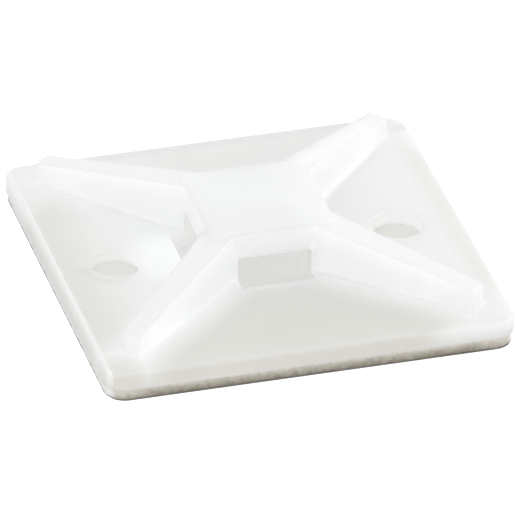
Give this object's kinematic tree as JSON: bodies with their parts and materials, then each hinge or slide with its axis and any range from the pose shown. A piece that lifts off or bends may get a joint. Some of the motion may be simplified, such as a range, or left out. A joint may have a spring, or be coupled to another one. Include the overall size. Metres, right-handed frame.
{
  "type": "cable tie mount",
  "caption": "Square adhesive-backed cable tie mount with a raised middle on sloping ribs, tie channels crossing under it, and screw holes.",
  "frame": {"origin": "centre of the underside, on the surface the mount is stuck to", "axes": "+Z out of the surface through the raised middle, +X through the two screw holes, +Y away from the picture's camera, along a tie channel"},
  "size_m": [0.0284, 0.0284, 0.0057],
  "materials": {
    "nylon": "natural translucent nylon, satin gloss",
    "foam": "matt grey-white foam tape",
    "liner": "thin coated paper, matt"
  },
  "bodies": {
    "root": {"mount_body": "nylon", "adhesive_pad": "foam", "release_liner": "liner"}
  },
  "joints": []
}
